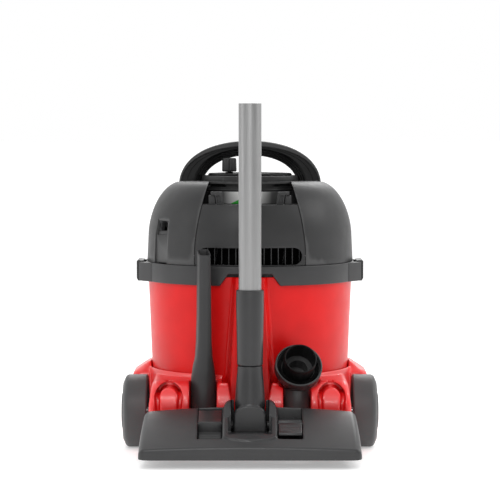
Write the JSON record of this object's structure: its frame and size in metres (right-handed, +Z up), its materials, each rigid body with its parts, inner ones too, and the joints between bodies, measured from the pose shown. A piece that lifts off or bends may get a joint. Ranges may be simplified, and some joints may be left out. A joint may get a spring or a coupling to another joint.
{
  "type": "tub vacuum cleaner",
  "caption": "Wheeled tub vacuum cleaner with lift-off power head, cable winder, carry handle, docked floor tool and tube, and parked hand tools.",
  "frame": {"origin": "on the floor, under the middle of the bounding box; the tub's axis stands 73.5 mm further along +Y", "axes": "+Z up, +Y towards the front of the machine (the hose inlet and castors), +X to the right as seen from behind, where the floor tool is docked"},
  "size_m": [0.376, 0.503, 0.501],
  "materials": {
    "red_shell": "moulded, satin gloss",
    "graphite_shell": "fine satin texture",
    "charcoal_shell": "fine satin texture",
    "black_trim": "plain",
    "wheel_plastic": "fine satin texture",
    "steel": "plain",
    "tube_metal": "fine brushed, anodised",
    "rotor_steel": "laminated stack with copper windings",
    "rubber": "matt",
    "filter_cloth": "felted",
    "foam": "open-cell foam",
    "label": "printed plate, no text"
  },
  "bodies": {
    "base": {"chassis": "red_shell", "rear_axle": "steel", "tub": "red_shell", "hose_inlet_collar": "black_trim", "inlet_pipe": "graphite_shell", "dust_bag": "filter_cloth", "wand_bracket": "graphite_shell"},
    "left_wheel": {"wheel_left": "wheel_plastic", "hub_cap_left": "graphite_shell"},
    "right_wheel": {"wheel_right": "wheel_plastic", "hub_cap_right": "graphite_shell"},
    "left_castor": {"castor_fork_left": "black_trim", "castor_pin_left": "steel"},
    "right_castor": {"castor_fork_right": "black_trim", "castor_pin_right": "steel"},
    "left_castor_roller": {"castor_wheel_left": "wheel_plastic"},
    "right_castor_roller": {"castor_wheel_right": "wheel_plastic"},
    "filter": {"filter_seal": "rubber", "filter_cloth": "filter_cloth"},
    "head": {"head_ring": "charcoal_shell", "head_dome": "graphite_shell", "rear_panel": "graphite_shell", "exhaust_grille": "black_trim", "exhaust_foam": "foam", "top_cap": "graphite_shell", "label_plate": "label", "cable_port": "black_trim", "switch_housing": "black_trim", "motor_cradle": "graphite_shell", "motor_seal": "rubber", "motor_can": "steel", "fan_cover": "steel", "contact_plate": "black_trim", "latch_pin_left": "steel", "latch_pin_right": "steel"},
    "left_latch": {"latch_left": "charcoal_shell"},
    "right_latch": {"latch_right": "charcoal_shell"},
    "handle": {"carry_handle": "graphite_shell", "handle_insert": "black_trim"},
    "switch": {"switch_rocker": "red_shell"},
    "rotor": {"rotor_shaft": "rotor_steel", "fan_impeller": "steel"},
    "winder": {"cable_drum": "graphite_shell", "mains_cable": "rubber", "winder_disc": "black_trim"},
    "crank_knob": {"winder_knob": "graphite_shell"},
    "tool_neck": {"tool_elbow": "charcoal_shell"},
    "tool_cuff": {"tool_socket": "charcoal_shell"},
    "wand": {"wand_tube": "tube_metal"},
    "tool_head": {"floor_tool_housing": "charcoal_shell", "floor_tool_sole": "steel"},
    "left_pedal": {"pedal_left": "charcoal_shell"},
    "right_pedal": {"pedal_right": "charcoal_shell"},
    "brushes": {"bristle_carriage": "black_trim"},
    "left_tool_wheel": {"tool_wheel_left": "wheel_plastic"},
    "right_tool_wheel": {"tool_wheel_right": "wheel_plastic"},
    "crevice_nozzle": {"crevice_tool": "charcoal_shell"},
    "dusting_brush": {"dusting_nozzle": "charcoal_shell", "dusting_bristles": "black_trim"},
    "dusting_collar": {"dusting_sleeve": "graphite_shell"}
  },
  "joints": [
    {"name": "left_wheel_spin", "type": "hinge", "parent": "base", "child": "left_wheel", "pos_m": [-0.165, -0.0215, 0.053], "axis": [1, 0, 0], "continuous": true},
    {"name": "right_wheel_spin", "type": "hinge", "parent": "base", "child": "right_wheel", "pos_m": [0.165, -0.0215, 0.053], "axis": [1, 0, 0], "continuous": true},
    {"name": "left_castor_swivel", "type": "hinge", "parent": "base", "child": "left_castor", "pos_m": [-0.101, 0.2, 0.06], "axis": [0, 0, 1], "continuous": true},
    {"name": "left_castor_roll", "type": "hinge", "parent": "left_castor", "child": "left_castor_roller", "pos_m": [-0.101, 0.187, 0.021], "axis": [1, 0, 0], "continuous": true},
    {"name": "right_castor_swivel", "type": "hinge", "parent": "base", "child": "right_castor", "pos_m": [0.101, 0.2, 0.06], "axis": [0, 0, 1], "continuous": true},
    {"name": "right_castor_roll", "type": "hinge", "parent": "right_castor", "child": "right_castor_roller", "pos_m": [0.101, 0.187, 0.021], "axis": [1, 0, 0], "continuous": true},
    {"name": "head_lift", "type": "slide", "parent": "base", "child": "head", "axis": [0, 0, 1], "range_m": [0, 0.3]},
    {"name": "filter_lift", "type": "slide", "parent": "base", "child": "filter", "axis": [0, 0, 1], "range_m": [0, 0.15]},
    {"name": "right_latch_swing", "type": "hinge", "parent": "head", "child": "right_latch", "pos_m": [0.1612, 0.0735, 0.2635], "axis": [0, -1, 0], "range_deg": [0, 28]},
    {"name": "left_latch_swing", "type": "hinge", "parent": "head", "child": "left_latch", "pos_m": [-0.1612, 0.0735, 0.2635], "axis": [0, 1, 0], "range_deg": [0, 28]},
    {"name": "handle_tilt", "type": "hinge", "parent": "head", "child": "handle", "pos_m": [0, 0.0735, 0.3775], "axis": [1, 0, 0], "range_deg": [0, 44]},
    {"name": "switch_rock", "type": "hinge", "parent": "head", "child": "switch", "pos_m": [0, 0.2145, 0.322], "axis": [1, 0, 0], "range_deg": [-12, 0]},
    {"name": "rotor_spin", "type": "hinge", "parent": "head", "child": "rotor", "pos_m": [0, 0.0735, 0.28], "axis": [0, 0, 1], "continuous": true},
    {"name": "winder_turn", "type": "hinge", "parent": "head", "child": "winder", "pos_m": [0, 0.0735, 0.39], "axis": [0, 0, 1], "continuous": true},
    {"name": "knob_spin", "type": "hinge", "parent": "winder", "child": "crank_knob", "pos_m": [-0.031, 0.0735, 0.41], "axis": [0, 0, 1], "continuous": true},
    {"name": "tool_undock", "type": "slide", "parent": "base", "child": "tool_neck", "axis": [0, 0, 1], "range_m": [0, 0.12]},
    {"name": "cuff_swivel", "type": "hinge", "parent": "tool_neck", "child": "tool_cuff", "pos_m": [0, -0.1545, 0.15], "axis": [0, 0, 1], "continuous": true},
    {"name": "tube_pull", "type": "slide", "parent": "tool_cuff", "child": "wand", "axis": [0, 0, 1], "range_m": [0, 0.095]},
    {"name": "tool_pitch", "type": "hinge", "parent": "tool_neck", "child": "tool_head", "pos_m": [0, -0.1625, 0.05], "axis": [1, 0, 0], "range_deg": [-15, 6]},
    {"name": "left_pedal_rock", "type": "hinge", "parent": "tool_head", "child": "left_pedal", "pos_m": [-0.05575, -0.1925, 0.055], "axis": [1, 0, 0], "range_deg": [-24, 0]},
    {"name": "right_pedal_rock", "type": "hinge", "parent": "tool_head", "child": "right_pedal", "pos_m": [0.05575, -0.1925, 0.055], "axis": [1, 0, 0], "range_deg": [0, 24]},
    {"name": "brush_drop", "type": "slide", "parent": "tool_head", "child": "brushes", "axis": [0, 0, -1], "range_m": [0, 0.0045]},
    {"name": "left_tool_wheel_roll", "type": "hinge", "parent": "tool_head", "child": "left_tool_wheel", "pos_m": [-0.1, -0.1535, 0.021], "axis": [1, 0, 0], "continuous": true},
    {"name": "right_tool_wheel_roll", "type": "hinge", "parent": "tool_head", "child": "right_tool_wheel", "pos_m": [0.1, -0.1535, 0.021], "axis": [1, 0, 0], "continuous": true},
    {"name": "crevice_lift", "type": "slide", "parent": "base", "child": "crevice_nozzle", "axis": [0, 0, 1], "range_m": [0, 0.12]},
    {"name": "dusting_lift", "type": "slide", "parent": "base", "child": "dusting_brush", "axis": [0, 0, 1], "range_m": [0, 0.085]},
    {"name": "dusting_collar_slide", "type": "slide", "parent": "dusting_brush", "child": "dusting_collar", "axis": [0.114, -0.8112, 0.5736], "range_m": [0, 0.01]}
  ],
  "couplings": [
    {"joint": "filter_lift", "follows": "head_lift", "ratio": 0.5},
    {"joint": "right_pedal_rock", "follows": "left_pedal_rock", "ratio": -1},
    {"joint": "brush_drop", "follows": "left_pedal_rock", "m_per_rad": -0.010624}
  ]
}
